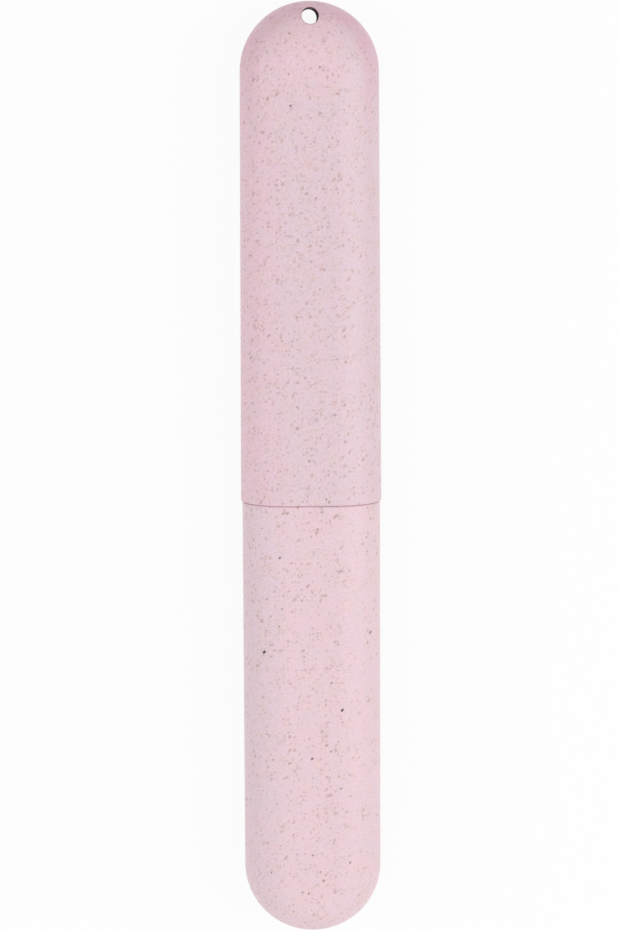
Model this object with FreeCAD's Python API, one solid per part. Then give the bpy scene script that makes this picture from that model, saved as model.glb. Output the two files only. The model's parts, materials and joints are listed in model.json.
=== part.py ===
# Travel toothbrush case: a flattened capsule of two push-together mouldings, a cap and a base.
#
# The case lies on its flat back with its front face up. X runs across its width, Y along its
# length with the cap's round end at +Y, and Z from back to front. The origin lies on the
# surface under the case, below the middle of its length. All sizes are in millimetres.

import FreeCAD, Part
import math
import os

# Driving dimensions of the outside
FLAT_WIDTH = 9.6            # flat strip down the middle of the front and the back, at the seam
CAP_DEPTH = 21.0            # front to back, and so the diameter of the rounded sides
CAP_LENGTH = 107.5          # seam to crown
CAP_NARROWING = 0.75        # how much narrower the cap is where its round end starts
BASE_LENGTH = 96.0          # seam to foot
BASE_STEP = 0.3             # how far the base's outside stands inside the cap's
BASE_NARROWING = 0.05       # how much narrower the base is where its round end starts

# Driving dimensions of the walls and of the push fit
CAP_WALL = 1.2
NECK_WALL = 1.0
NECK_LENGTH = 13.0          # how far the neck stands out of the base
NECK_CLEARANCE = 0.2        # between the neck and the inside of the cap, all round

# The bead round the neck, and the groove in the cap that it clicks into
BEAD_CLEARANCE = 0.06       # between the bead and the inside of the cap as the cap slides off
BEAD_LAND = 0.7             # flat top of the bead, along the neck
BEAD_RAMP = 0.6             # each sloping side of the bead, along the neck
BEAD_FROM_SEAM = 6.5        # seam to the middle of the bead
GROOVE_DEPTH = 0.2
GROOVE_PLAY = 0.25          # how much longer the groove is than the bead, at each end

# The hanging hole, straight through the round end of the cap from front to back
HOLE_DIAMETER = 3.6
HOLE_BELOW_CROWN = 3.4      # crown to the middle of the hole

# Rounded and bevelled edges
RIM_ROUND = 0.35            # outer edge of the cap's mouth
RIM_LEAD_IN = 0.35          # bevel inside the cap's mouth
SHOULDER_ROUND = 0.22       # outer edge of the base's shoulder
NECK_ROOT_ROUND = 0.15      # where the neck rises from the shoulder
NECK_LIP_ROUND = 0.35       # both edges of the neck's lip
HOLE_ROUND = 0.2            # edges of the hanging hole on the outside

OVERRUN = 2.0               # how far a cutting solid runs past what it cuts
EDGE_TOLERANCE = 1e-4       # how closely an edge has to follow the line that it is picked by
EDGE_SAMPLES = 5            # points tested along each edge

# Worked out from the driving dimensions
CAP_RADIUS = CAP_DEPTH / 2
CAP_INNER_RADIUS = CAP_RADIUS - CAP_WALL
NECK_RADIUS = CAP_INNER_RADIUS - NECK_CLEARANCE
BEAD_HEIGHT = NECK_CLEARANCE - BEAD_CLEARANCE
CAVITY_RADIUS = NECK_RADIUS - NECK_WALL
BASE_RADIUS = CAP_RADIUS - BASE_STEP
AXIS_Z = CAP_RADIUS
SEAM_Y = (BASE_LENGTH - CAP_LENGTH) / 2
CAP_END_FLAT = FLAT_WIDTH - CAP_NARROWING
BASE_END_FLAT = FLAT_WIDTH - BASE_NARROWING
CAP_END_Y = SEAM_Y + CAP_LENGTH - CAP_END_FLAT / 2 - CAP_RADIUS
BASE_END_Y = SEAM_Y - BASE_LENGTH + BASE_END_FLAT / 2 + BASE_RADIUS
LIP_Y = SEAM_Y + NECK_LENGTH
BEAD_Y = SEAM_Y + BEAD_FROM_SEAM
HOLE_Y = SEAM_Y + CAP_LENGTH - HOLE_BELOW_CROWN

ORIGIN = FreeCAD.Vector(0, 0, 0)
ACROSS = FreeCAD.Vector(1, 0, 0)
TOWARDS_FRONT = FreeCAD.Vector(0, 0, 1)
TOWARDS_CROWN = 1           # which way a round end bulges, as the sign of its half turn
TOWARDS_FOOT = -1


def point(x, y, z):
    return FreeCAD.Vector(x, y, z)


def line(start, end):
    return Part.LineSegment(start, end).toShape()


def flat_at(y):
    """Width of the cap's flat strip at y: it narrows evenly from the seam to the round end."""
    return FLAT_WIDTH - CAP_NARROWING * (y - SEAM_Y) / (CAP_END_Y - SEAM_Y)


def right_round(flat, radius, y):
    """Half circle down the right side of the case at y, from its front to its back."""
    side = flat / 2
    front = point(side, y, AXIS_Z + radius)
    outermost = point(side + radius, y, AXIS_Z)
    back = point(side, y, AXIS_Z - radius)
    return front, back, Part.Arc(front, outermost, back).toShape()


def outline(flat, radius, y):
    """Closed outline across the case at y: two flats joined by half circles."""
    front, back, right = right_round(flat, radius, y)
    left_front = point(-front.x, y, front.z)
    left_back = point(-back.x, y, back.z)
    left = right.mirror(ORIGIN, ACROSS)
    edges = [line(left_front, front), right, line(back, left_back), left]
    return Part.Wire(Part.sortEdges(edges)[0])


def collar(stations):
    """Solid through a row of outlines, each given as (flat, radius, y), with straight sides."""
    return Part.makeLoft([outline(*station) for station in stations], True, True)


def straight_run(start_flat, end_flat, radius, start_y, end_y):
    """Solid between two outlines of one radius: a flat wedge between two half-round sides."""
    corners = [
        point(-start_flat / 2, start_y, AXIS_Z - radius),
        point(start_flat / 2, start_y, AXIS_Z - radius),
        point(end_flat / 2, end_y, AXIS_Z - radius),
        point(-end_flat / 2, end_y, AXIS_Z - radius),
    ]
    wedge = Part.Face(Part.makePolygon(corners + corners[:1])).extrude(point(0, 0, 2 * radius))
    front, back, rim = right_round(start_flat, radius, start_y)
    half_disc = Part.Face(Part.Wire([rim, line(back, front)]))
    right = half_disc.extrude(point((end_flat - start_flat) / 2, end_y - start_y, 0))
    left = right.mirror(ORIGIN, ACROSS)
    return wedge.fuse([right, left])


def round_end(flat, radius, y, direction):
    """Right half of the outline at y, turned half a revolution about the front-to-back axis."""
    front, back, rim = right_round(flat, radius, y)
    middle_front = point(0, y, front.z)
    middle_back = point(0, y, back.z)
    half_outline = Part.Wire([
        line(middle_front, front), rim, line(back, middle_back), line(middle_back, middle_front)])
    half_turn = math.degrees(math.pi) * direction
    return Part.Face(half_outline).revolve(middle_back, TOWARDS_FRONT, half_turn)


def capsule(start_flat, end_flat, radius, start_y, end_y, direction):
    """Straight run from start_y to end_y, closed there by a round end."""
    run = straight_run(start_flat, end_flat, radius, start_y, end_y)
    return run.fuse(round_end(end_flat, radius, end_y, direction)).removeSplitter()


def ring(surface_radius, height, ramp, land):
    """Collar round the neck that rises from surface_radius by height, centred on the bead."""
    rows = [
        (BEAD_Y - land / 2 - ramp, surface_radius),
        (BEAD_Y - land / 2, surface_radius + height),
        (BEAD_Y + land / 2, surface_radius + height),
        (BEAD_Y + land / 2 + ramp, surface_radius),
    ]
    return collar([(flat_at(y), radius, y) for y, radius in rows])


def hanging_hole():
    """Round cutter through the cap, with a quarter arc each towards crown, foot, left and right."""
    def rim(quarters):
        angle = quarters * math.pi / 2
        across = HOLE_DIAMETER / 2 * math.cos(angle)
        along = HOLE_DIAMETER / 2 * math.sin(angle)
        return point(across, HOLE_Y + along, -OVERRUN)

    arcs = [
        Part.Arc(rim(side - 1 / 2), rim(side), rim(side + 1 / 2)).toShape()
        for side in range(4)
    ]
    return Part.Face(Part.Wire(arcs)).extrude(TOWARDS_FRONT * (CAP_DEPTH + 2 * OVERRUN))


def edges_on(shape, flat, radius, y):
    """The edges of shape that follow the outline of that flat and radius at y."""
    def strays(p):
        past_flat = max(abs(p.x) - flat / 2, 0)
        return abs(math.hypot(past_flat, p.z - AXIS_Z) - radius) + abs(p.y - y) > EDGE_TOLERANCE

    return [
        edge for edge in shape.Edges
        if not any(strays(p) for p in edge.discretize(EDGE_SAMPLES))
    ]


def hole_mouths(shape):
    """The edges where the hanging hole leaves shape, front and back."""
    def strays(p):
        return math.hypot(p.x, p.y - HOLE_Y) > HOLE_DIAMETER / 2 + EDGE_TOLERANCE

    return [
        edge for edge in shape.Edges
        if edge.BoundBox.XLength > EDGE_TOLERANCE
        and not any(strays(p) for p in edge.discretize(EDGE_SAMPLES))
    ]


def make_cap():
    """Upper shell, with its bevelled mouth, its groove and the hanging hole."""
    body = capsule(FLAT_WIDTH, CAP_END_FLAT, CAP_RADIUS, SEAM_Y, CAP_END_Y, TOWARDS_CROWN)
    body = body.makeFillet(RIM_ROUND, edges_on(body, FLAT_WIDTH, CAP_RADIUS, SEAM_Y))
    body = body.cut(hanging_hole())
    body = body.makeFillet(HOLE_ROUND, hole_mouths(body))
    below_mouth = SEAM_Y - OVERRUN
    inside = capsule(
        flat_at(below_mouth), CAP_END_FLAT, CAP_INNER_RADIUS, below_mouth, CAP_END_Y, TOWARDS_CROWN)
    bevel_end = SEAM_Y + RIM_LEAD_IN
    lead_in = collar([
        (FLAT_WIDTH, CAP_INNER_RADIUS + RIM_LEAD_IN, SEAM_Y),
        (flat_at(bevel_end), CAP_INNER_RADIUS, bevel_end),
    ])
    groove = ring(CAP_INNER_RADIUS, GROOVE_DEPTH, BEAD_RAMP, BEAD_LAND + 2 * GROOVE_PLAY)
    return body.cut([inside, lead_in, groove])


def make_base():
    """Lower shell, with its shoulder and the beaded neck that carries the cap."""
    body = capsule(FLAT_WIDTH, BASE_END_FLAT, BASE_RADIUS, SEAM_Y, BASE_END_Y, TOWARDS_FOOT)
    body = body.makeFillet(SHOULDER_ROUND, edges_on(body, FLAT_WIDTH, BASE_RADIUS, SEAM_Y))
    lip_flat = flat_at(LIP_Y)
    body = body.fuse(straight_run(FLAT_WIDTH, lip_flat, NECK_RADIUS, SEAM_Y, LIP_Y))
    body = body.makeFillet(NECK_ROOT_ROUND, edges_on(body, FLAT_WIDTH, NECK_RADIUS, SEAM_Y))
    cavity = capsule(lip_flat, BASE_END_FLAT, CAVITY_RADIUS, LIP_Y, BASE_END_Y, TOWARDS_FOOT)
    bead = ring(NECK_RADIUS, BEAD_HEIGHT, BEAD_RAMP, BEAD_LAND)
    body = body.fuse(bead).cut(cavity).removeSplitter()
    lip_edges = edges_on(body, lip_flat, NECK_RADIUS, LIP_Y)
    lip_edges += edges_on(body, lip_flat, CAVITY_RADIUS, LIP_Y)
    return body.makeFillet(NECK_LIP_ROUND, lip_edges)


os.makedirs("parts", exist_ok=True)
for name, shape in {"cap": make_cap(), "base": make_base()}.items():
    (solid,) = shape.Solids     # each piece is one moulding
    solid.exportStep(os.path.join("parts", name + ".step"))
    print(name, "valid", solid.isValid(), "volume", round(solid.Volume), "mm3")
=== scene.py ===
# %% [markdown]
# A travel toothbrush case
#
# The case is two plastic shells that push together: a long cap with a hanging hole in its round
# end, and a base whose neck goes up inside the cap. It lies on its back, so the photograph's view
# is from above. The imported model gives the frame: where the mouth, the crown, the foot and the
# hole are. This lesson builds each shell as one smooth closed surface around that frame, gives it
# its speckled plastic, and then sets up the floor, the light and the camera.

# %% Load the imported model
import json
import math

import bpy
import numpy as np
from mathutils import Matrix, Vector


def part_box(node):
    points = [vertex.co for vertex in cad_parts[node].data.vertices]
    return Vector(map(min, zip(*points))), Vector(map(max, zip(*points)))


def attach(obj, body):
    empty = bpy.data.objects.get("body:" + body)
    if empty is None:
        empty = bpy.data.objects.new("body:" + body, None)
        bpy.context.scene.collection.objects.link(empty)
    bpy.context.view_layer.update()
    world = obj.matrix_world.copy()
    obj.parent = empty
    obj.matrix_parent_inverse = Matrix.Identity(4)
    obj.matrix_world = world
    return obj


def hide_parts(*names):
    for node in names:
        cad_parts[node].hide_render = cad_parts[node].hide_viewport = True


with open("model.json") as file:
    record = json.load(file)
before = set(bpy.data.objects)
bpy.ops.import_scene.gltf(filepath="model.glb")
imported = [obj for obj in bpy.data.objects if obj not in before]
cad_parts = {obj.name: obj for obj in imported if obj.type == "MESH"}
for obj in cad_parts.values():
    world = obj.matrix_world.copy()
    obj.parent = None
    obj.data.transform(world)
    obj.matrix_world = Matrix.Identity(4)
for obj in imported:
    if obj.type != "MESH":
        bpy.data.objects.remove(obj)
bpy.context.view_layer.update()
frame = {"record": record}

cap_low, cap_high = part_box("cap")
base_low, base_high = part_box("base")

# %% [markdown]
# Sizes
#
# Places and outer sizes come from the frame's boxes, so the surfaces land where the solids are.
# The flats, the walls and the push fit can't be read from a box, so they are written here in
# millimetres, as a maker's drawing would give them. The bead, the hole and the small edges follow
# where they are first needed.

# %% Sizes, in metres
MM = 0.001

SEAM_Y = cap_low.y
CROWN_Y = cap_high.y
FOOT_Y = base_low.y
LIP_Y = base_high.y
CAP_RADIUS = (cap_high.z - cap_low.z) / 2
BASE_RADIUS = (base_high.z - base_low.z) / 2
AXIS_Z = cap_low.z + CAP_RADIUS

FLAT_WIDTH = 9.6 * MM           # flat strip down the front and the back, at the seam
CAP_NARROWING = 0.75 * MM       # how much narrower the strip is where each round end starts
BASE_NARROWING = 0.05 * MM
CAP_WALL = 1.2 * MM
NECK_WALL = 1.0 * MM
NECK_CLEARANCE = 0.2 * MM       # between the neck and the inside of the cap

CAP_INNER_RADIUS = CAP_RADIUS - CAP_WALL
NECK_RADIUS = CAP_INNER_RADIUS - NECK_CLEARANCE
CAVITY_RADIUS = NECK_RADIUS - NECK_WALL
CAP_END_FLAT = FLAT_WIDTH - CAP_NARROWING
BASE_END_FLAT = FLAT_WIDTH - BASE_NARROWING
CAP_END_Y = CROWN_Y - CAP_END_FLAT / 2 - CAP_RADIUS
BASE_END_Y = FOOT_Y + BASE_END_FLAT / 2 + BASE_RADIUS
print("cap", round((CROWN_Y - SEAM_Y) / MM, 2), "mm long, base", round((SEAM_Y - FOOT_Y) / MM, 2), "mm")

# %% [markdown]
# From grids of points to one closed mesh
#
# Each surface below is a grid: rows and columns of points from a formula. A shell needs several
# such grids that share their borders. Instead of counting vertices across the borders, every cell
# is written as its four corner points, all cells are put in one list, and corners at the same
# place become one vertex. A cell that has shrunk to a triangle, as at the tips of a half disc,
# loses its doubled corner.

# %% Weld grids into a mesh
WELD = 1e-8                     # corners that round to the same multiple of this are one vertex
SHARP_ANGLE = math.radians(32)  # edges that turn by more than this stay crisp


def cells(grid, keep=None, flip=False):
    """Corner points of each cell: (row, column), then the next row, then both, then next column.

    keep is a mask of the cells that stay, and flip turns their faces round.
    """
    corners = np.stack([grid[:-1, :-1], grid[1:, :-1], grid[1:, 1:], grid[:-1, 1:]], axis=2)
    corners = corners.reshape(-1, 4, 3) if keep is None else corners[keep]
    return corners[:, ::-1] if flip else corners


def weld(name, cell_lists):
    """One mesh object from lists of cells, with corners that coincide made one vertex."""
    corners = np.concatenate(cell_lists)
    keys = np.round(corners.reshape(-1, 3) / WELD).astype(np.int64)
    _, first, index = np.unique(keys, axis=0, return_index=True, return_inverse=True)
    points = corners.reshape(-1, 3)[first]
    faces = index.reshape(-1, 4)
    doubled = faces == np.roll(faces, -1, axis=1)
    shrunk = doubled.sum(axis=1) == 1
    quads = faces[~doubled.any(axis=1)]
    triangles = faces[shrunk][~doubled[shrunk]].reshape(-1, 3)
    mesh = bpy.data.meshes.new(name)
    mesh.from_pydata(points, [], quads.tolist() + triangles.tolist())
    mesh.shade_smooth()
    mesh.set_sharp_from_angle(angle=SHARP_ANGLE)
    piece = bpy.data.objects.new(name, mesh)
    bpy.context.scene.collection.objects.link(piece)
    return piece


print("corners are welded to", WELD / MM, "mm")

# %% [markdown]
# Is a shell closed?
#
# A moulded shell has no open border: its wall has an outside, an inside and edges that join them.
# In edit mode, Select Non Manifold would show a border that was left open. A script can count
# instead: the triangles of a closed mesh pass every edge once in each direction. The volume then
# shows whether the faces point outwards, because it comes out negative if they don't.

# %% Measure a shell
def report(piece):
    """Prints a piece's triangles, whether it is closed, and its volume.

    The volume is a sixth of the sum of a . (b x c) over the triangles with corners a, b and c.
    """
    mesh = piece.data
    mesh.calc_loop_triangles()
    points = np.empty(len(mesh.vertices) * 3)
    mesh.vertices.foreach_get("co", points)
    corners = np.empty(len(mesh.loop_triangles) * 3, np.int32)
    mesh.loop_triangles.foreach_get("vertices", corners)
    corners = corners.reshape(-1, 3)
    a, b, c = points.reshape(-1, 3)[corners.T]
    volume = np.einsum("ij,ij->", a, np.cross(b, c)) / 6 / MM**3
    edges = np.stack([corners, np.roll(corners, -1, axis=1)], axis=-1).reshape(-1, 2)
    there = np.unique(edges, axis=0)
    back = np.unique(edges[:, ::-1], axis=0)
    closed = len(there) == len(edges) and np.array_equal(there, back)
    print(piece.name, len(corners), "triangles,", "closed," if closed else "OPEN,", round(volume), "mm3")


print("each shell is reported as closed or OPEN")

# %% [markdown]
# The straight walls: a profile carried round an outline
#
# Cut across anywhere, the case is two flats joined by half circles. Cut along, its wall has a
# profile: down the outside, round the rim, and back up the inside. One grid does a whole wall: its
# rows are the points of the profile and its columns are places round the outline. A modelled tube
# with bevels could do it too, but the formula keeps the cap's slight taper and gives each edge
# its own true round.

# %% The outline, and walls that follow it
ROUND_STEPS = 60                # cells round each half circle
TURN_STEPS = 90                 # cells round the half turn of a round end, and across each flat

QUARTER = math.pi / 2
round_angles = np.linspace(0, math.pi, ROUND_STEPS + 1)
turn_angles = np.linspace(-QUARTER, QUARTER, TURN_STEPS + 1)

# Round the outline: across the front flat, round the right, back across, and round the left.
flat_shares = np.concatenate([
    np.sin(turn_angles),
    np.ones(ROUND_STEPS),
    -np.sin(turn_angles[1:]),
    -np.ones(ROUND_STEPS),
])
outline_angles = np.concatenate([
    np.zeros(TURN_STEPS + 1),
    round_angles[1:],
    np.full(TURN_STEPS, math.pi),
    math.pi + round_angles[1:],
])


def carried_wall(profile):
    """A profile of (y, radius, flat width) rows, carried round the outline.

    x is the place's share of half the flat, plus radius times the sine of its angle;
    z is the axis plus radius times the cosine.
    """
    y, radius, flat = (column[:, None] for column in np.asarray(profile).T)
    x = flat_shares * flat / 2 + radius * np.sin(outline_angles)
    z = AXIS_Z + radius * np.cos(outline_angles)
    return np.stack(np.broadcast_arrays(x, y, z), axis=-1)


print("outline of", len(flat_shares) - 1, "places")

# %% [markdown]
# The stretches of a profile
#
# A profile is put together from a few kinds of stretch: a straight run along the wall, a small
# rounded edge, and the ramp, land and ramp of a ring, which is a bead on the neck or a groove in
# the cap. Each is a list of (y, radius) rows. The flat's width changes evenly along the case, so
# it is worked out from each row's y and added last.

# %% Flats and stretches
EDGE_STEPS = 7                  # cells round each small edge
WALL_STEPS = 12                 # cells along a plain stretch of wall
BEAD_FROM_SEAM = 6.5 * MM       # seam to the middle of the bead
BEAD_LAND = 0.7 * MM            # flat top of the bead
BEAD_RAMP = 0.6 * MM            # each of its sloping sides
BEAD_Y = SEAM_Y + BEAD_FROM_SEAM


def even_flat(start_y, start_width, end_y, end_width):
    """A function for the flat's width: the start width plus y's share of the way times the change."""
    def width_at(y):
        return start_width + (end_width - start_width) * (y - start_y) / (end_y - start_y)

    return width_at


def run(start_y, end_y, radius):
    """Profile points straight along the wall at one radius."""
    y = np.linspace(start_y, end_y, WALL_STEPS + 1)
    return np.stack([y, np.full(WALL_STEPS + 1, radius)], axis=1)


def edge_round(middle_y, middle_radius, size, start, end):
    """Profile points round a small edge: an arc about its middle, between two angles.

    y is the middle's plus size times the sine, and the radius is the middle's plus size times the
    cosine.
    """
    angles = np.linspace(start, end, EDGE_STEPS + 1)
    return np.stack([
        middle_y + size * np.sin(angles),
        middle_radius + size * np.cos(angles),
    ], axis=1)


def ring(surface_radius, ring_radius, land):
    """Profile points up a ramp, along a land and down a ramp, centred on the bead."""
    y = BEAD_Y + np.array([-land / 2 - BEAD_RAMP, -land / 2, land / 2, land / 2 + BEAD_RAMP])
    return np.stack([y, [surface_radius, ring_radius, ring_radius, surface_radius]], axis=1)


def with_flat(stretches, flat_at):
    """Joins the stretches and adds the flat's width at each row's y, as the third column."""
    rows = np.concatenate(stretches)
    return np.column_stack([rows, flat_at(rows[:, 0])])


cap_flat = even_flat(SEAM_Y, FLAT_WIDTH, CAP_END_Y, CAP_END_FLAT)
base_flat = even_flat(SEAM_Y, FLAT_WIDTH, BASE_END_Y, BASE_END_FLAT)
cavity_flat = even_flat(LIP_Y, cap_flat(LIP_Y), BASE_END_Y, BASE_END_FLAT)
print("flat", round(cap_flat(LIP_Y) / MM, 2), "mm wide at the neck's lip")

# %% [markdown]
# The round ends
#
# Each end is the half outline, swung half a turn about the front-to-back axis. The swung half
# circle gives the rounded border of the end, and the swung flat gives a half disc, which is filled
# with rows that run from its straight side out to its arc. Blender's Spin tool could swing it too,
# but here the rows have to meet the straight wall's points exactly, so both use the same angles.

# %% Round ends
DISC_STEPS = 8                  # rows of cells in a half disc
OUTWARD, INWARD = 1, -1
FRONT, BACK = 1, -1
TO_CROWN, TO_FOOT = 1, -1


def round_border(flat, radius, end_y, direction):
    """Rows turn from left to right about the middle, columns go over from front to back.

    The distance from the middle is half the flat plus radius times the sine of the column's angle.
    """
    turn = turn_angles[:, None]
    reach = flat / 2 + radius * np.sin(round_angles)
    x = reach * np.sin(turn)
    y = end_y + direction * reach * np.cos(turn)
    z = AXIS_Z + radius * np.cos(round_angles)
    return np.stack(np.broadcast_arrays(x, y, z), axis=-1)


def half_disc(flat, radius, end_y, direction, side):
    """Rows go from the disc's straight side out to its arc, columns from left to right.

    x is half the flat times the sine of the column's angle, and y goes from the straight side by
    the row's share of half the flat times the cosine.
    """
    row_share = np.linspace(0, 1, DISC_STEPS + 1)[:, None]
    x = flat / 2 * np.sin(turn_angles)
    y = end_y + direction * row_share * flat / 2 * np.cos(turn_angles)
    z = AXIS_Z + side * radius
    return np.stack(np.broadcast_arrays(x, y, z), axis=-1)


def round_end(flat, radius, end_y, direction, facing, keep=None):
    """All cells of a round end whose faces point outward or inward."""
    border = round_border(flat, radius, end_y, direction)
    lists = [cells(border, keep, flip=direction * facing < 0)]
    for side in (FRONT, BACK):
        disc = half_disc(flat, radius, end_y, direction, side)
        lists.append(cells(disc, flip=direction * facing * side > 0))
    return lists


print("a round end has", TURN_STEPS * ROUND_STEPS, "cells in its border")

# %% [markdown]
# The hanging hole: a window in the dome
#
# The cap's round end has a hole straight through it for a cord or a hook. A Boolean cut would
# leave long slivers round it, and they would show as dents in the soft highlight of the dome. So a
# window of cells is left out of the dome, outside and inside, and a ring of spokes fills it.

# %% Window in the dome
WINDOW_TURN = range(35, 55)     # cells of the half turn that the window takes out
WINDOW_ROUND = range(4, 27)     # cells of the front's half circle that it takes out


def window_mask():
    """True for the border's cells that stay: all but the window, at the front and the back."""
    keep = np.ones((TURN_STEPS, ROUND_STEPS), bool)
    keep[np.ix_(WINDOW_TURN, WINDOW_ROUND)] = False
    return keep & keep[:, ::-1]


def window_border(radius):
    """Points round the front window, clockwise as seen from the front, closed on its start."""
    border = round_border(CAP_END_FLAT, radius, CAP_END_Y, TO_CROWN)
    left, right = WINDOW_TURN.start, WINDOW_TURN.stop
    near, far = WINDOW_ROUND.start, WINDOW_ROUND.stop
    return np.concatenate([
        border[left, near:far], border[left:right, far],
        border[right, far:near:-1], border[right:left:-1, near],
        border[left, near:near + 1],
    ])


window = window_mask()
print("window of", len(WINDOW_TURN), "by", len(WINDOW_ROUND), "cells, front and back")

# %% [markdown]
# The hanging hole: spokes on the dome
#
# A spoke runs from the window's border to the hole. Seen from the front it is a straight line, and
# the dome's own formula gives its height. The hole's edge is rounded as if a small ball rolled
# round inside the wall and touched both the dome and the hole. The dome slants, so where the ball
# touches it differs from spoke to spoke.

# %% Spokes and the rolled edge
hole_mount = next(mount for mount in frame["record"]["mounts"] if mount["name"] == "hang_hole")
HOLE_Y = hole_mount["pos_m"][1]
HOLE_RADIUS = hole_mount["dims"]["r_mm"] * MM
HOLE_ROUND = 0.2 * MM           # its edge on the outside, and so the size of the ball
CONTACT_ROUNDS = 12             # times that the ball's contact with the dome is worked out again


def dome_over(x, y, radius):
    """The dome over a point: its height over the axis, its slope and the point's reach.

    The reach is the distance from the middle of the round end, and past is what it has beyond half
    the flat. The height is sqrt(radius^2 - past^2), the slope along the reach is -past / height.
    """
    reach = np.hypot(x, y - CAP_END_Y)
    past = np.maximum(reach - CAP_END_FLAT / 2, 0)
    height = np.sqrt(radius**2 - past**2)
    return height, -past / height, reach


def spokes(radius):
    """Length and direction of each spoke, from the hole's middle to the window's border."""
    border = window_border(radius)
    x, y = border[:, 0], border[:, 1] - HOLE_Y
    return np.hypot(x, y), np.unwrap(np.arctan2(y, x))


def on_dome(length, angle, radius):
    """Points of the dome that lie that far along the spokes, as seen from the front."""
    x = length * np.cos(angle)
    y = HOLE_Y + length * np.sin(angle)
    height, _, _ = dome_over(x, y, radius)
    return np.stack([x, y, AXIS_Z + height], axis=-1)


def rolled_edge(angle):
    """For each spoke, where the ball touches the dome, the dome's tilt there and the ball's height.

    The ball's middle lies its own size outside the hole's wall. It touches the dome at that place
    less its size times the sine of the tilt. The tilt depends on the place, so both are worked out
    a few times over.
    """
    contact = np.full(angle.shape, HOLE_RADIUS + HOLE_ROUND)
    for _ in range(CONTACT_ROUNDS):
        x = contact * np.cos(angle)
        y = HOLE_Y + contact * np.sin(angle)
        height, slope, reach = dome_over(x, y, CAP_RADIUS)
        outward = (x * np.cos(angle) + (y - CAP_END_Y) * np.sin(angle)) / reach
        tilt = np.arctan(slope * outward)
        contact = HOLE_RADIUS + HOLE_ROUND * (1 - np.sin(tilt))
    return contact, tilt, AXIS_Z + height - HOLE_ROUND * np.cos(tilt)


print("hole", round(2 * HOLE_RADIUS / MM, 2), "mm across, its middle",
      round((CROWN_Y - HOLE_Y) / MM, 2), "mm below the crown")

# %% [markdown]
# The hanging hole: the whole patch
#
# One grid fills the window and makes the hole. Its columns are the spokes. Its rows go from the
# window's border in along the dome, over the rolled edge, straight through the wall, and out along
# the inside to the inner window. The back's patch is the same grid, turned over.

# %% Hole patch
SPOKE_STEPS = 10                # cells along each spoke, outside and inside
SPOKE_CROWDING = 1.6            # above 1, the steps crowd towards the hole
HOLE_WALL_STEPS = 5             # cells straight through the wall


def hole_patch():
    """The whole front patch: outer dome, rolled edge, hole wall, inner dome."""
    length, angle = spokes(CAP_RADIUS)
    inner_length, inner_angle = spokes(CAP_INNER_RADIUS)
    contact, tilt, ball_z = rolled_edge(angle)
    out_share = np.linspace(1, 0, SPOKE_STEPS + 1)[:, None] ** SPOKE_CROWDING
    outer = on_dome(contact + out_share * (length - contact), angle, CAP_RADIUS)
    outer[0] = window_border(CAP_RADIUS)

    roll = np.linspace(tilt, np.full(tilt.shape, QUARTER), EDGE_STEPS + 1)[1:]
    roll_length = HOLE_RADIUS + HOLE_ROUND * (1 - np.sin(roll))
    edge = np.stack([
        roll_length * np.cos(angle),
        HOLE_Y + roll_length * np.sin(angle),
        ball_z + HOLE_ROUND * np.cos(roll),
    ], axis=-1)

    inner_share = out_share[::-1]
    inner = on_dome(
        HOLE_RADIUS + inner_share * (inner_length - HOLE_RADIUS), inner_angle, CAP_INNER_RADIUS)
    inner[-1] = window_border(CAP_INNER_RADIUS)

    down_share = np.linspace(0, 1, HOLE_WALL_STEPS + 1)[1:-1, None]
    wall_angle = angle + down_share * (inner_angle - angle)
    wall = np.stack([
        HOLE_RADIUS * np.cos(wall_angle),
        HOLE_Y + HOLE_RADIUS * np.sin(wall_angle),
        ball_z + down_share * (inner[0, :, 2] - ball_z),
    ], axis=-1)
    return np.concatenate([outer, edge, wall, inner])


def to_back(grid):
    """The same grid on the back of the case: its height over the axis turned round."""
    mirrored = grid.copy()
    mirrored[..., 2] = 2 * AXIS_Z - mirrored[..., 2]
    return mirrored


front_patch = hole_patch()
print("hole patch", front_patch.shape[0], "rows of", front_patch.shape[1], "points")

# %% [markdown]
# The cap
#
# The cap's profile runs down the outside, round the rim, across the rim's flat face, up the bevel
# that leads the neck in, past the shallow groove for the bead and on up the inside. Two round ends
# close it, one facing out and one facing in, and the hole's patch joins them, front and back. A
# solid with a Boolean cavity could be made as well, but welded grids keep every face even.

# %% Cap
RIM_ROUND = 0.2 * MM            # outer edge of the mouth
RIM_LEAD_IN = 0.35 * MM         # bevel inside the mouth
GROOVE_DEPTH = 0.2 * MM
GROOVE_PLAY = 0.25 * MM         # how much longer the groove is than the bead, at each end

cap_profile = with_flat([
    run(CAP_END_Y, SEAM_Y + RIM_ROUND, CAP_RADIUS),
    edge_round(SEAM_Y + RIM_ROUND, CAP_RADIUS - RIM_ROUND, RIM_ROUND, 0, -QUARTER)[1:],
    [[SEAM_Y, CAP_INNER_RADIUS + RIM_LEAD_IN]],
    [[SEAM_Y + RIM_LEAD_IN, CAP_INNER_RADIUS]],
    ring(CAP_INNER_RADIUS, CAP_INNER_RADIUS + GROOVE_DEPTH, BEAD_LAND + 2 * GROOVE_PLAY),
    run(LIP_Y, CAP_END_Y, CAP_INNER_RADIUS),
], cap_flat)

cap = weld("cap_shell", [
    cells(carried_wall(cap_profile)),
    *round_end(CAP_END_FLAT, CAP_RADIUS, CAP_END_Y, TO_CROWN, OUTWARD, window),
    *round_end(CAP_END_FLAT, CAP_INNER_RADIUS, CAP_END_Y, TO_CROWN, INWARD, window),
    cells(front_patch),
    cells(to_back(front_patch), flip=True),
])
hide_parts("cap")
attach(cap, "cap")
report(cap)

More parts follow.
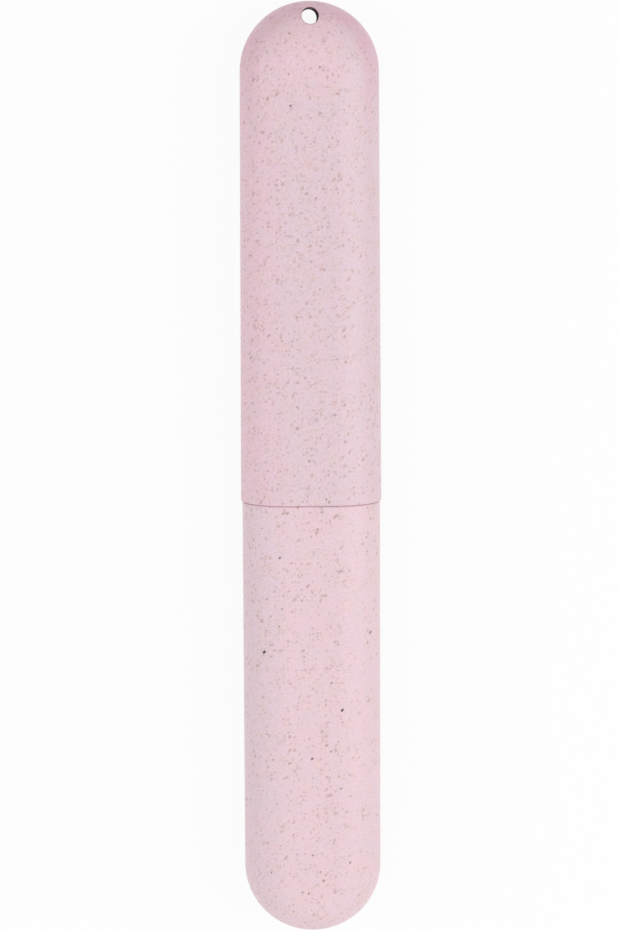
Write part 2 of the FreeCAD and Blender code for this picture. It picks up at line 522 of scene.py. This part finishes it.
# %% [markdown]
# The base
#
# The base's profile starts at the bottom of the cavity, comes up the inside, over the lip, down
# the neck with its bead, out along the shoulder that the cap's rim sits on, and down the outside.
# Along its outer edge the shoulder is a hair lower than under the rim. That leaves the fine dark
# line that shows where the two shells meet, as a real gap and not as painted shade.

# %% Base
BEAD_CLEARANCE = 0.06 * MM      # between the bead and the inside of the cap as it slides
NECK_LIP_ROUND = 0.35 * MM      # both edges of the neck's lip
NECK_ROOT_ROUND = 0.15 * MM     # where the neck rises from the shoulder
SHADOW_GAP = 0.18 * MM          # step down along the shoulder's outer edge, seen as the dark seam
SHADOW_GAP_DEPTH = 0.35 * MM    # how far in that step reaches
SHOULDER_ROUND = 0.22 * MM      # outer edge of the shoulder

bead_radius = CAP_INNER_RADIUS - BEAD_CLEARANCE
shoulder_y = SEAM_Y - SHADOW_GAP
cavity_profile = with_flat([
    run(BASE_END_Y, LIP_Y - NECK_LIP_ROUND, CAVITY_RADIUS),
], cavity_flat)
neck_profile = with_flat([
    edge_round(LIP_Y - NECK_LIP_ROUND, CAVITY_RADIUS + NECK_LIP_ROUND, NECK_LIP_ROUND,
               math.pi, QUARTER)[1:],
    edge_round(LIP_Y - NECK_LIP_ROUND, NECK_RADIUS - NECK_LIP_ROUND, NECK_LIP_ROUND, QUARTER, 0),
    ring(NECK_RADIUS, bead_radius, BEAD_LAND)[::-1],
    edge_round(SEAM_Y + NECK_ROOT_ROUND, NECK_RADIUS + NECK_ROOT_ROUND, NECK_ROOT_ROUND,
               math.pi, math.pi + QUARTER),
], cap_flat)
outside_profile = with_flat([
    [[SEAM_Y, BASE_RADIUS - SHADOW_GAP_DEPTH]],
    [[shoulder_y, BASE_RADIUS - SHADOW_GAP_DEPTH]],
    edge_round(shoulder_y - SHOULDER_ROUND, BASE_RADIUS - SHOULDER_ROUND, SHOULDER_ROUND, QUARTER, 0),
    run(shoulder_y - SHOULDER_ROUND, BASE_END_Y, BASE_RADIUS)[1:],
], base_flat)
base_profile = np.concatenate([cavity_profile, neck_profile, outside_profile])

base = weld("base_shell", [
    cells(carried_wall(base_profile)),
    *round_end(BASE_END_FLAT, BASE_RADIUS, BASE_END_Y, TO_FOOT, OUTWARD),
    *round_end(BASE_END_FLAT, CAVITY_RADIUS, BASE_END_Y, TO_FOOT, INWARD),
])
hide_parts("base")
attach(base, "base")
report(base)

# %% [markdown]
# Colour and nodes
#
# A colour is written as it looks on a screen, as a hex value. Blender's shaders count light, so
# one function turns it to linear. A second small function adds a node, sets it up and links it,
# so that a material below reads as a list of steps.

# %% Colour and node helpers
BYTE_MAX = 255
SRGB_LINE_END = 0.04045         # sRGB is a straight line up to here, and a power curve above
SRGB_LINE_SLOPE = 12.92
SRGB_OFFSET = 0.055
SRGB_POWER = 2.4


def linear(hex_colour):
    """An sRGB hex colour as linear red, green and blue, with an alpha of 1.

    Up to the line's end a value is divided by the line's slope. Above it the offset is added, the
    sum is divided by 1 plus the offset, and that is raised to the power.
    """
    srgb = np.array(list(bytes.fromhex(hex_colour[1:]))) / BYTE_MAX
    line = srgb / SRGB_LINE_SLOPE
    curve = ((srgb + SRGB_OFFSET) / (1 + SRGB_OFFSET)) ** SRGB_POWER
    return (*np.where(srgb <= SRGB_LINE_END, line, curve).tolist(), 1.0)


def add(tree, kind, inputs, **settings):
    """One node with its settings, and with each named input set to a value or linked to a socket."""
    node = tree.nodes.new(kind)
    for name, value in settings.items():
        setattr(node, name, value)
    for name, value in inputs.items():
        if isinstance(value, bpy.types.NodeSocket):
            tree.links.new(value, node.inputs[name])
        else:
            node.inputs[name].default_value = value
    return node


MIX_AMOUNT, MIX_FROM, MIX_TO = 0, 6, 7      # sockets of a Mix node that blends colours
MIXED = 2
print("middle grey in linear light", [round(value, 3) for value in linear("#808080")])

# %% [markdown]
# The plastic: polypropylene filled with ground straw
#
# Both shells are moulded from pale pink polypropylene with ground plant fibre in it. It has a
# satin surface, and bits of straw and husk lie in it at every depth: pale tan crumbs, brown ones
# and a rare dark one. A flat speckle texture would smear round the sides, so the bits are solid:
# a Voronoi texture parts space into cells, each cell may hold one bit at its own place, in its own
# direction and size, and the surface cuts through it.

# %% The shape of a bit
MIDDLE = 0.5                    # noise and random numbers lie about this


def bit_distance(tree, place, cell, stretch):
    """Distance from the cell's point, counted shorter along the bit's own random direction.

    With d the way from that point and u the direction, it is
    sqrt(d.d - (1 - 1 / stretch^2) (d.u)^2), so the places at one distance are an ellipsoid.
    """
    centred = add(tree, "ShaderNodeVectorMath",
                  {0: cell.outputs["Color"], 1: (MIDDLE, MIDDLE, MIDDLE)}, operation="SUBTRACT")
    direction = add(tree, "ShaderNodeVectorMath", {0: centred.outputs[0]}, operation="NORMALIZE")
    way = add(tree, "ShaderNodeVectorMath",
              {0: place, 1: cell.outputs["Position"]}, operation="SUBTRACT")
    along = add(tree, "ShaderNodeVectorMath",
                {0: way.outputs[0], 1: direction.outputs[0]}, operation="DOT_PRODUCT")
    along_squared = add(tree, "ShaderNodeMath",
                        {0: along.outputs["Value"], 1: along.outputs["Value"]}, operation="MULTIPLY")
    way_squared = add(tree, "ShaderNodeVectorMath",
                      {0: way.outputs[0], 1: way.outputs[0]}, operation="DOT_PRODUCT")
    squared = add(tree, "ShaderNodeMath", {
        0: along_squared.outputs[0], 1: 1 / stretch**2 - 1, 2: way_squared.outputs["Value"],
    }, operation="MULTIPLY_ADD")
    return add(tree, "ShaderNodeMath", {0: squared.outputs[0]}, operation="SQRT").outputs[0]


print("a bit is an ellipsoid about its cell's point")

# %% [markdown]
# Where the bits lie
#
# The bits aren't strewn evenly. They crowd together in some places, as they do where the melt
# flowed together. Fewer of them are drawn on the right side: that is painted sheen, standing in for
# the soft highlight that washes them out there. So each cell has a random number, a slow noise and
# the cell's place raise or lower it, and the cell has a bit if the sum is high enough.

# %% Chance of a bit
CROWD_SIZE = 3 * MM             # how far apart the crowded places are
CROWD_OCTAVES = 2.0             # finer noises on top of that one
CROWDING = 3.2                  # how much the crowding changes a bit's chance
CLEAR_START, CLEAR_FULL = 5 * MM, 8 * MM    # fewer bits on the right side, as painted sheen, from here to here
SHEEN_CLEARING = 0.35                 # how much smaller a bit's chance is under that painted sheen


def has_bit(tree, cell, dice, chance):
    """1 in a cell that has a bit and 0 in one that has none.

    The cell's random number, less what the painted sheen on the right side takes off, plus CROWDING
    times the noise, has to pass 1 - chance plus CROWDING times the noise's middle.
    """
    crowd = add(tree, "ShaderNodeTexNoise", {
        "Vector": cell.outputs["Position"], "Scale": 1 / CROWD_SIZE, "Detail": CROWD_OCTAVES})
    spot = add(tree, "ShaderNodeSeparateXYZ", {"Vector": cell.outputs["Position"]})
    clear = add(tree, "ShaderNodeMapRange", {
        "Value": spot.outputs["X"], "From Min": CLEAR_START, "From Max": CLEAR_FULL,
        "To Max": SHEEN_CLEARING}, interpolation_type="SMOOTHSTEP")
    thinned = add(tree, "ShaderNodeMath", {0: dice, 1: clear.outputs[0]}, operation="SUBTRACT")
    luck = add(tree, "ShaderNodeMath", {
        0: crowd.outputs["Fac"], 1: CROWDING, 2: thinned.outputs[0]}, operation="MULTIPLY_ADD")
    return add(tree, "ShaderNodeMath", {
        0: luck.outputs[0], 1: 1 - chance + CROWDING * MIDDLE}, operation="GREATER_THAN").outputs[0]


print("bits crowd every", round(CROWD_SIZE / MM, 1), "mm or so")

# %% [markdown]
# How strongly a bit shows
#
# A bit at the surface is sharp and dark, and one that lies deeper shows faintly through the
# plastic. Tracing light through the plastic would do that too, but slowly and with much noise.
# So each bit has a random strength instead, and its outline is soft, like a buried crumb's.

# %% Bits of straw
BIT_CORE_SHARE = 0.3            # a bit fades out from this share of its radius
FAINTNESS = 2.0                 # above 1, more of the bits are faint than strong


def straw_bits(tree, place, spacing, chance, smallest, largest, stretch, strongest):
    """How strongly a bit of straw shows at each place, and a random number for that bit's tint.

    It is the strongest inside the bit's core, falls smoothly to 0 at its radius, and is multiplied
    by another random number to the power of FAINTNESS, and by 0 where the cell has no bit. The
    random number that decides whether the cell has one also sets its size: the higher, the larger.
    """
    cell = add(tree, "ShaderNodeTexVoronoi", {"Vector": place, "Scale": 1 / spacing})
    dice = add(tree, "ShaderNodeSeparateColor", {"Color": cell.outputs["Color"]})
    size_dice, depth_dice, tint_dice = dice.outputs
    distance = bit_distance(tree, place, cell, stretch)
    present = has_bit(tree, cell, size_dice, chance)
    radius = add(tree, "ShaderNodeMapRange", {
        "Value": size_dice, "From Min": 1 - chance,
        "To Min": smallest / 2, "To Max": largest / 2})
    core = add(tree, "ShaderNodeMath",
               {0: radius.outputs[0], 1: BIT_CORE_SHARE}, operation="MULTIPLY")
    covers = add(tree, "ShaderNodeMapRange", {
        "Value": distance, "From Min": core.outputs[0], "From Max": radius.outputs[0],
        "To Min": strongest, "To Max": 0.0}, interpolation_type="SMOOTHSTEP")
    depth = add(tree, "ShaderNodeMath", {0: depth_dice, 1: FAINTNESS}, operation="POWER")
    seen = add(tree, "ShaderNodeMath",
               {0: covers.outputs[0], 1: depth.outputs[0]}, operation="MULTIPLY")
    shows = add(tree, "ShaderNodeMath", {0: seen.outputs[0], 1: present}, operation="MULTIPLY")
    return shows.outputs[0], tint_dice


# Each kind of bit: cells' spacing in mm, chance of a bit in a cell, smallest and largest size in
# mm, how much longer than thick it is, how strongly it shows at most, paler and darker colour.
straw_kinds = {
    "deep": (2.4, 0.6, 1.0, 2.0, 1.3, 0.3, "#DBB2A2", "#C99D8E"),
    "dust": (0.6, 0.82, 0.44, 0.7, 1.3, 0.45, "#B48786", "#8A5E5D"),
    "straw": (1.0, 0.78, 0.56, 1.08, 1.8, 0.62, "#C69B95", "#A37572"),
    "bran": (0.9, 0.64, 0.5, 0.86, 1.7, 0.39, "#926565", "#6E4446"),
    "husk": (2.1, 0.45, 0.5, 0.86, 1.8, 1.0, "#6C3D35", "#241715"),
}
print("kinds of bit:", *straw_kinds)

# %% [markdown]
# Clouds and painted shades of the pink
#
# The pink isn't one colour all over. It is clouded by a noise. The rest is painted shade: the left
# side has a painted shade of its own for its softer light, the crown end is painted warmer where less
# light falls on it and deeper over the edge of the round end, and the cut wall of the hanging hole is
# painted dark for the shade inside it. A painted texture could hold these shades, but each one
# follows a plain measure: how far across or along, or how far from the hole or from the middle of
# the round end. So each is a colour that is blended in by smooth ramps over such measures.

# %% Clouds and painted shades
CLOUD_SIZE = 14 * MM
CLOUD_SHARE = 0.5               # how much of the cloud's colour its noise brings in
LEFT_START, LEFT_FULL = -4 * MM, -11 * MM   # where the left side's painted shade, for its softer light, starts and is full
PAINTED_CROWN_SHADE = "#EAC8D4"          # painted shade: warmer towards the crown end, where less light falls
CROWN_START, CROWN_FULL = 28 * MM, 10 * MM  # below the crown
CROWN_SIDE_START, CROWN_SIDE_FULL = 10 * MM, 3 * MM     # across: it stops short of the sheen on the right side
PAINTED_EDGE_SHADE = "#E0B5C9"           # painted shade: deeper over the edge of the round end, which turns away from the light
EDGE_START, EDGE_FULL = 5.1 * MM, 1.7 * MM  # in from the outline of the round end
FADE_START, FADE_FULL = 32 * MM, 6 * MM     # below the crown, so that it fades out down the sides
PAINTED_HOLE_SHADE = "#5A1418"           # painted shade on the cut wall of the hanging hole, for the shade inside it
CUT_START, CUT_FULL = 0.15 * MM, 0.03 * MM  # out from that wall
END_REACH = CAP_END_FLAT / 2 + CAP_RADIUS   # from the middle of the round end to its outline


def shaded(tree, place, pink, cloud, painted_left_shade):
    """The plain plastic's colour: clouded by a noise, then blended to each painted shade in its place.

    A painted shade's amount is the product of its ramps, each rising smoothly from 0 at the start to 1.
    """
    clouds = add(tree, "ShaderNodeTexNoise", {"Vector": place, "Scale": 1 / CLOUD_SIZE})
    cloudy = add(tree, "ShaderNodeMath",
                 {0: clouds.outputs["Fac"], 1: CLOUD_SHARE}, operation="MULTIPLY")
    colour = add(tree, "ShaderNodeMix", {
        MIX_AMOUNT: cloudy.outputs[0], MIX_FROM: linear(pink), MIX_TO: linear(cloud),
    }, data_type="RGBA")

    where = add(tree, "ShaderNodeSeparateXYZ", {"Vector": place})
    x, y = where.outputs["X"], where.outputs["Y"]
    plan = add(tree, "ShaderNodeCombineXYZ", {"X": x, "Y": y})
    from_hole = add(tree, "ShaderNodeVectorMath",
                    {0: plan.outputs[0], 1: (0, HOLE_Y, 0)}, operation="DISTANCE").outputs["Value"]
    past_end = add(tree, "ShaderNodeMath", {0: y, 1: CAP_END_Y}, operation="MAXIMUM")
    end_plan = add(tree, "ShaderNodeCombineXYZ", {"X": x, "Y": past_end.outputs[0]})
    reach = add(tree, "ShaderNodeVectorMath",
                {0: end_plan.outputs[0], 1: (0, CAP_END_Y, 0)}, operation="DISTANCE").outputs["Value"]
    # Painted shades: the left side's softer light, the crown end's lower light and the shade in the
    # hole.
    shades = [
        (painted_left_shade, [(x, LEFT_START, LEFT_FULL)]),
        (PAINTED_CROWN_SHADE, [(y, CROWN_Y - CROWN_START, CROWN_Y - CROWN_FULL),
                      (x, CROWN_SIDE_START, CROWN_SIDE_FULL)]),
        (PAINTED_EDGE_SHADE, [(reach, END_REACH - EDGE_START, END_REACH - EDGE_FULL),
                     (y, CROWN_Y - FADE_START, CROWN_Y - FADE_FULL)]),
        (PAINTED_HOLE_SHADE, [(from_hole, HOLE_RADIUS + CUT_START, HOLE_RADIUS + CUT_FULL)]),
    ]
    for shade, ramps in shades:
        amount = 1.0
        for measure, start, full in ramps:
            ramp = add(tree, "ShaderNodeMapRange", {
                "Value": measure, "From Min": start, "From Max": full, "To Max": amount,
            }, interpolation_type="SMOOTHSTEP")
            amount = ramp.outputs[0]
        colour = add(tree, "ShaderNodeMix", {
            MIX_AMOUNT: amount, MIX_FROM: colour.outputs[MIXED], MIX_TO: linear(shade),
        }, data_type="RGBA")
    return colour.outputs[MIXED]


print("the crown's shade starts", round(CROWN_START / MM), "mm below the crown")

# %% [markdown]
# Stains
#
# The finest ground straw doesn't show as bits. It stains the plastic: golden and grey patches a few
# millimetres across, and a powder that only just shows. Noise at each one's own size makes them,
# which is simpler than cells, because a stain has no outline.

# %% Stains
STAIN_ROUGHNESS = 0.7           # how strong each finer octave of the noise is against the last
STAIN_START, STAIN_FULL = 0.4, 0.8      # levels of the noise where a stain starts and is full

# Each stain: size in mm, finer octaves, how much shows at most, colour that it leans to.
stains = {
    "golden": (3.0, 2.0, 0.28, "#E8CBB0"),
    "grey": (4.0, 2.0, 0.38, "#D6CFD3"),
    "powder": (0.45, 1.0, 0.27, "#B9978F"),
}


def stained(tree, place, colour):
    """The colour, blended to each stain's in proportion to its noise above the starting level."""
    for size, octaves, most, stain in stains.values():
        noise = add(tree, "ShaderNodeTexNoise", {
            "Vector": place, "Scale": 1 / (size * MM), "Detail": octaves, "Roughness": STAIN_ROUGHNESS})
        amount = add(tree, "ShaderNodeMapRange", {
            "Value": noise.outputs["Fac"], "From Min": STAIN_START, "From Max": STAIN_FULL,
            "To Max": most})
        colour = add(tree, "ShaderNodeMix", {
            MIX_AMOUNT: amount.outputs[0], MIX_FROM: colour, MIX_TO: linear(stain),
        }, data_type="RGBA").outputs[MIXED]
    return colour


print("stains:", *stains)

# %% [markdown]
# Strewing the bits
#
# Ground straw is ragged, and an ellipsoid is smooth. So the place is bent by a fine noise before
# the bits are looked up there, which bends and notches their outlines. The kinds are then laid
# over one another, from the deep and pale ones to the rare dark husks.

# %% Strewn bits
WOBBLE_SIZE = 0.5 * MM          # how far apart the bends and notches are
WOBBLE = 0.42 * MM              # how far the noise moves a place, over its whole range


def strewn(tree, place, colour, straw_share, husk_share):
    """The colour with all kinds of bit laid over it, and how strongly the last kind, husk, shows.

    The bent place is the place plus WOBBLE times what the noise has past its middle.
    """
    bends = add(tree, "ShaderNodeTexNoise", {"Vector": place, "Scale": 1 / WOBBLE_SIZE})
    centred = add(tree, "ShaderNodeVectorMath",
                  {0: bends.outputs["Color"], 1: (MIDDLE, MIDDLE, MIDDLE)}, operation="SUBTRACT")
    bent = add(tree, "ShaderNodeVectorMath", {
        0: centred.outputs[0], 1: (WOBBLE, WOBBLE, WOBBLE), 2: place}, operation="MULTIPLY_ADD")
    for kind, traits in straw_kinds.items():
        spacing, chance, smallest, largest, stretch, strongest, paler, darker = traits
        share = husk_share if kind == "husk" else straw_share
        bits, tint = straw_bits(tree, bent.outputs[0], spacing * MM, chance * share,
                                smallest * MM, largest * MM, stretch, strongest)
        straw = add(tree, "ShaderNodeMix", {
            MIX_AMOUNT: tint, MIX_FROM: linear(paler), MIX_TO: linear(darker)}, data_type="RGBA")
        colour = add(tree, "ShaderNodeMix", {
            MIX_AMOUNT: bits, MIX_FROM: colour, MIX_TO: straw.outputs[MIXED],
        }, data_type="RGBA").outputs[MIXED]
    return colour, bits


print("a bit's outline moves by up to", round(WOBBLE * MIDDLE / MM, 2), "mm each way")

# %% [markdown]
# One recipe, two batches
#
# The cap and the base came out of two moulds. The cap's batch is a little greyer and has more
# straw in it, and the base's has more of the dark husks. So one function makes the material, and
# the batches are rows in a table. Polypropylene from a finely textured mould looks satin: its
# highlights are broad and soft. That texture is drawn coarser than it is, so that it shows, and
# a husk at the surface is a touch rougher than the plastic.

# %% Straw-filled polypropylene
POLYPROPYLENE_IOR = 1.49
SATIN_ROUGHNESS = 0.42
HUSK_ROUGHNESS = 0.6
GRAIN_SIZE = 0.5 * MM           # moulded texture
GRAIN_DEPTH = 0.004 * MM

# Each batch: material's name, its pink, its clouds' colour, its left side's colour as painted shade
# for the softer light there, and the shares of the chances in straw_kinds that its bits of straw and
# its husks have.
batches = {
    cap: ("straw_polypropylene_cap", "#E4CAD6", "#E0C4CF", "#E9C7D5", 0.85, 0.3),
    base: ("straw_polypropylene_base", "#EACDD8", "#E7C9D2", "#E6CCD8", 0.6, 1.0),
}


def straw_polypropylene(name, pink, cloud, painted_left_shade, straw_share, husk_share):
    """Satin pink plastic, shaded and stained, whose surface cuts the bits of straw."""
    material = bpy.data.materials.new(name)
    material.use_nodes = True
    tree = material.node_tree
    place = add(tree, "ShaderNodeTexCoord", {}).outputs["Object"]
    colour = shaded(tree, place, pink, cloud, painted_left_shade)
    colour = stained(tree, place, colour)
    colour, husks = strewn(tree, place, colour, straw_share, husk_share)
    grain = add(tree, "ShaderNodeTexNoise", {"Vector": place, "Scale": 1 / GRAIN_SIZE})
    bump = add(tree, "ShaderNodeBump", {"Height": grain.outputs["Fac"], "Distance": GRAIN_DEPTH})
    roughness = add(tree, "ShaderNodeMapRange", {
        "Value": husks, "To Min": SATIN_ROUGHNESS, "To Max": HUSK_ROUGHNESS})

    shader = tree.nodes["Principled BSDF"]
    shader.inputs["IOR"].default_value = POLYPROPYLENE_IOR
    tree.links.new(colour, shader.inputs["Base Color"])
    tree.links.new(roughness.outputs[0], shader.inputs["Roughness"])
    tree.links.new(bump.outputs[0], shader.inputs["Normal"])
    return material


for piece, batch in batches.items():
    material = straw_polypropylene(*batch)
    piece.data.materials.append(material)
    print(piece.name, "gets", material.name, "of", len(material.node_tree.nodes), "nodes")

# %% [markdown]
# The floor
#
# The case lies on white paper under soft light. White paper in even light would come out grey
# next to a lit object, so for the camera, and for what the plastic mirrors, most of the floor's
# colour is its own white. The rest is ordinary lit paper, and that part keeps the shadow.

# %% White floor
FLOOR_HALF = 3.0                # half its side, in metres
FLOOR_DROP = 0.02 * MM          # so that the case's flat back and the floor don't share one plane
PAPER = linear("#F2F1EF")
OWN_WHITE_SHARE = 0.9
WHITE_STRENGTH = 1.0            # light of this strength is shown as plain white


def seen_directly(tree):
    """1 for a ray from the camera, also one by way of a mirror or through glass, 0 for other light."""
    rays = add(tree, "ShaderNodeLightPath", {})
    bent = add(tree, "ShaderNodeMath", {
        0: rays.outputs["Is Glossy Ray"], 1: rays.outputs["Is Transmission Ray"]}, operation="MAXIMUM")
    return add(tree, "ShaderNodeMath", {
        0: rays.outputs["Is Camera Ray"], 1: bent.outputs[0]}, operation="MAXIMUM").outputs[0]


floor_mesh = bpy.data.meshes.new("floor")
floor_corners = FLOOR_HALF * np.array([(-1, -1, 0), (1, -1, 0), (1, 1, 0), (-1, 1, 0)])
floor_corners[:, 2] = -FLOOR_DROP
floor_mesh.from_pydata(floor_corners, [], [(0, 1, 2, 3)])
floor = bpy.data.objects.new("floor", floor_mesh)
bpy.context.scene.collection.objects.link(floor)

paper = bpy.data.materials.new("white_paper")
paper.use_nodes = True
paper_tree = paper.node_tree
paper_tree.nodes.clear()
own_white = add(paper_tree, "ShaderNodeMath", {
    0: seen_directly(paper_tree), 1: OWN_WHITE_SHARE}, operation="MULTIPLY")
lit = add(paper_tree, "ShaderNodeBsdfDiffuse", {"Color": PAPER})
white = add(paper_tree, "ShaderNodeEmission", {"Strength": WHITE_STRENGTH})
blend = add(paper_tree, "ShaderNodeMixShader", {
    "Fac": own_white.outputs[0], 1: lit.outputs[0], 2: white.outputs[0]})
add(paper_tree, "ShaderNodeOutputMaterial", {"Surface": blend.outputs[0]})
floor_mesh.materials.append(paper)
print("floor", 2 * FLOOR_HALF, "m square")

# %% [markdown]
# The light
#
# The photograph is lit softly from nearly everywhere. The right side is a little brighter than
# the left, with a broad soft sheen, and the crown is a little darker than the foot. So a white
# world gives most of the light, and large soft lamps add the rest. Where the camera or a mirrored
# ray sees the world itself it is plain white, like the floor, and as light it is weaker, so that
# the pale plastic keeps its colour.

# %% World and lamps
WORLD_STRENGTH = 0.66
LAMP_TARGET = Vector((0, 0, AXIS_Z))

world = bpy.data.worlds.new("white_studio")
bpy.context.scene.world = world
world.use_nodes = True
sky_tree = world.node_tree
sky = sky_tree.nodes["Background"]
sky.inputs["Color"].default_value = linear("#FFFFFF")
sky_strength = add(sky_tree, "ShaderNodeMapRange", {
    "Value": seen_directly(sky_tree), "To Min": WORLD_STRENGTH, "To Max": WHITE_STRENGTH})
sky_tree.links.new(sky_strength.outputs[0], sky.inputs["Strength"])

# name, turn from +X towards +Y and height in degrees, distance, width and length in m, power in W
lamps = [
    ("right_softbox", 0, 40, 0.9, 0.5, 0.9, 2.5),
    ("left_softbox", 180, 40, 0.9, 0.5, 0.9, 1.5),
    ("foot_softbox", 270, 35, 1.0, 0.9, 0.5, 1.1),
    ("top_softbox", 0, 90, 1.3, 0.8, 0.8, 0.7),
]
for name, turn, height, distance, width, length, power in lamps:
    turn, height = math.radians(turn), math.radians(height)
    towards = Vector((
        math.cos(height) * math.cos(turn), math.cos(height) * math.sin(turn), math.sin(height)))
    lamp = bpy.data.lights.new(name, "AREA")
    lamp.shape = "RECTANGLE"
    lamp.size = width
    lamp.size_y = length
    lamp.energy = power
    holder = bpy.data.objects.new(name, lamp)
    holder.matrix_world = (Matrix.Translation(LAMP_TARGET + distance * towards)
                           @ towards.to_track_quat("Z", "Y").to_matrix().to_4x4())
    bpy.context.scene.collection.objects.link(holder)
print(len(lamps), "lamps")

# %% [markdown]
# The camera
#
# The photograph looks almost straight down on the front. Its perspective was worked out from the
# outline of both round ends, the curve of the seam and the way the hanging hole is seen through:
# the camera stands over the cap, a little to the left, tips back towards the foot and turns a
# little to the right.

# %% Camera
IMAGE_HEIGHT = 931
FOCAL_PIXELS = 2774.6
SENSOR_HEIGHT = 24.0            # only its ratio to the lens matters
CAMERA_LEFT = 17 * MM
CAMERA_PAST_SEAM = 80 * MM      # from the seam towards the crown
CAMERA_DISTANCE = 600 * MM
CAMERA_PITCH = math.radians(6.883)
CAMERA_YAW = math.radians(1.611)
CAMERA_ROLL = math.radians(0.262)

camera_data = bpy.data.cameras.new("camera")
camera_data.sensor_fit = "VERTICAL"
camera_data.sensor_height = SENSOR_HEIGHT
camera_data.lens = FOCAL_PIXELS / IMAGE_HEIGHT * SENSOR_HEIGHT
camera = bpy.data.objects.new("camera", camera_data)
stand = Vector((-CAMERA_LEFT, SEAM_Y + CAMERA_PAST_SEAM, AXIS_Z + CAMERA_DISTANCE))
camera.matrix_world = (Matrix.Translation(stand) @ Matrix.Rotation(-CAMERA_YAW, 4, "Y")
                       @ Matrix.Rotation(-CAMERA_PITCH, 4, "X") @ Matrix.Rotation(-CAMERA_ROLL, 4, "Z"))
bpy.context.scene.collection.objects.link(camera)
bpy.context.scene.camera = camera
bpy.context.scene.view_settings.view_transform = "Standard"
print("camera at", [round(value / MM, 1) for value in stand], "mm")
